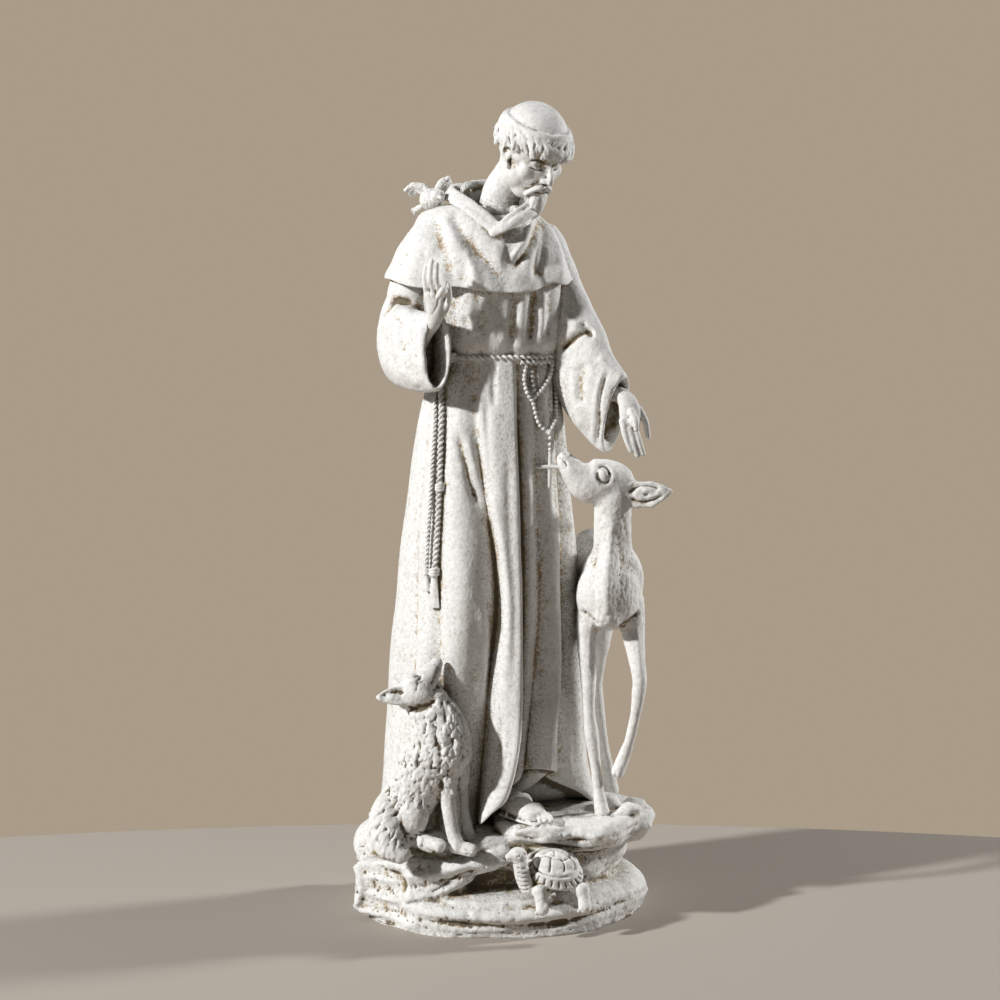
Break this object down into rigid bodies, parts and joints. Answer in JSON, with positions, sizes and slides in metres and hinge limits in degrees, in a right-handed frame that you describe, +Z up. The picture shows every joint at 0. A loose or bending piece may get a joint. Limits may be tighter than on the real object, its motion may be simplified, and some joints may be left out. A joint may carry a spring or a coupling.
{
  "type": "garden statue",
  "caption": "Cast-stone garden statue of Saint Francis in a hooded robe on a rock base, with a fawn, a fox, a tortoise and a small bird.",
  "frame": {"origin": "centre of the flat underside of the rock base, on the ground", "axes": "+Z up, the saint faces -Y, +X to the right of someone who looks at the front"},
  "size_m": [0.1987, 0.1599, 0.5077],
  "materials": {
    "cast_stone": "matt off-white cast stone with ochre and grey wash in the recesses"
  },
  "bodies": {
    "root": {"statue": "cast_stone"}
  },
  "joints": []
}
